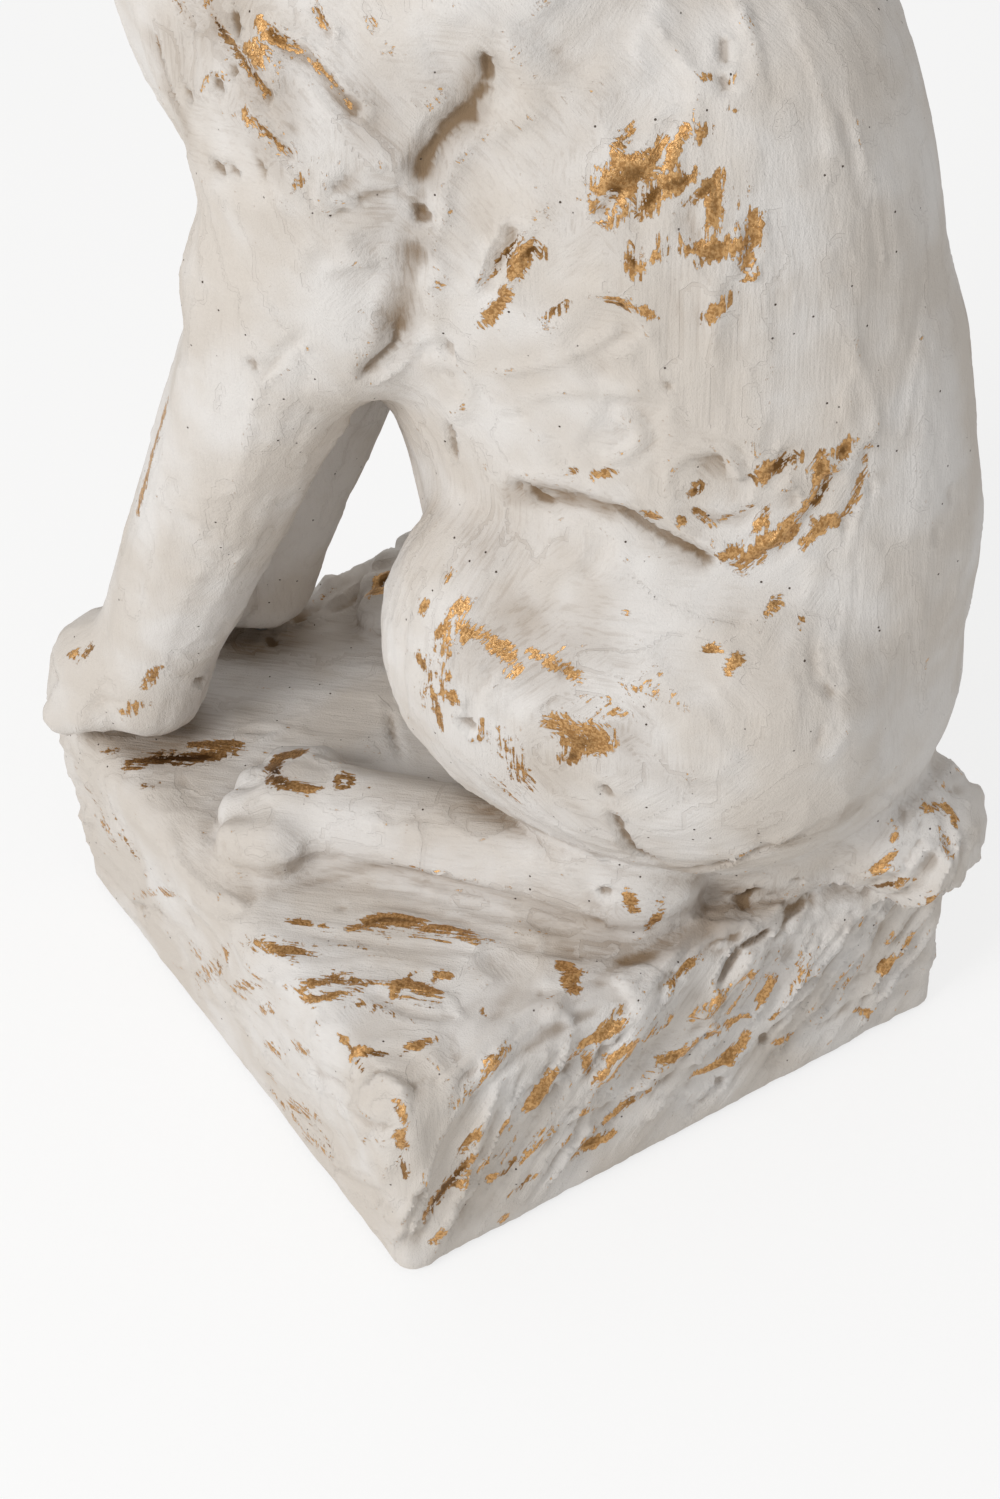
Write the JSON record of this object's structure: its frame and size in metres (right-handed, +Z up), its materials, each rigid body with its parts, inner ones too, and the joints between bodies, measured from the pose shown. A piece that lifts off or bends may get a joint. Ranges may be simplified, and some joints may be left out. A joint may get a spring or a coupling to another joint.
{
  "type": "seated rabbit figurine",
  "caption": "Hand-modelled rabbit sitting upright on a square plinth, a hollow figure cast in separate pieces that are pinned together, with a felted base.",
  "frame": {"origin": "middle of the felt's underside, on the surface that the figure stands on", "axes": "+Z up, the rabbit faces -Y turned a few degrees to its right, and its left side is +X; the plinth's corners point along X and Y"},
  "size_m": [0.2925, 0.3044, 0.6321],
  "materials": {
    "painted_resin": "cold-cast resin, matt off-white paint rubbed through to bronze-gold",
    "steel": "zinc-plated",
    "timber": "sawn softwood",
    "fibreboard": "raw fibreboard",
    "rubber": "matt",
    "felt": "felt"
  },
  "bodies": {
    "root": {"plinth_shell": "painted_resin", "torso_shell": "painted_resin", "head_shell": "painted_resin", "left_foreleg": "painted_resin", "right_foreleg": "painted_resin", "left_hind_foot": "painted_resin", "right_hind_foot": "painted_resin", "left_ear": "painted_resin", "right_ear": "painted_resin", "tail": "painted_resin", "neck_sleeve": "steel", "left_stud": "steel", "right_stud": "steel", "left_stud_washer": "steel", "right_stud_washer": "steel", "left_stud_nut": "steel", "right_stud_nut": "steel", "base_screw_1": "steel", "base_screw_2": "steel", "base_screw_3": "steel", "base_screw_4": "steel", "left_foreleg_dowel": "steel", "right_foreleg_dowel": "steel", "left_paw_dowel": "steel", "right_paw_dowel": "steel", "left_foot_dowel": "steel", "right_foot_dowel": "steel", "left_ear_dowel": "steel", "right_ear_dowel": "steel", "tail_dowel": "steel", "anchor_block": "timber", "base_board": "fibreboard", "fill_plug": "rubber", "base_felt": "felt"}
  },
  "joints": []
}
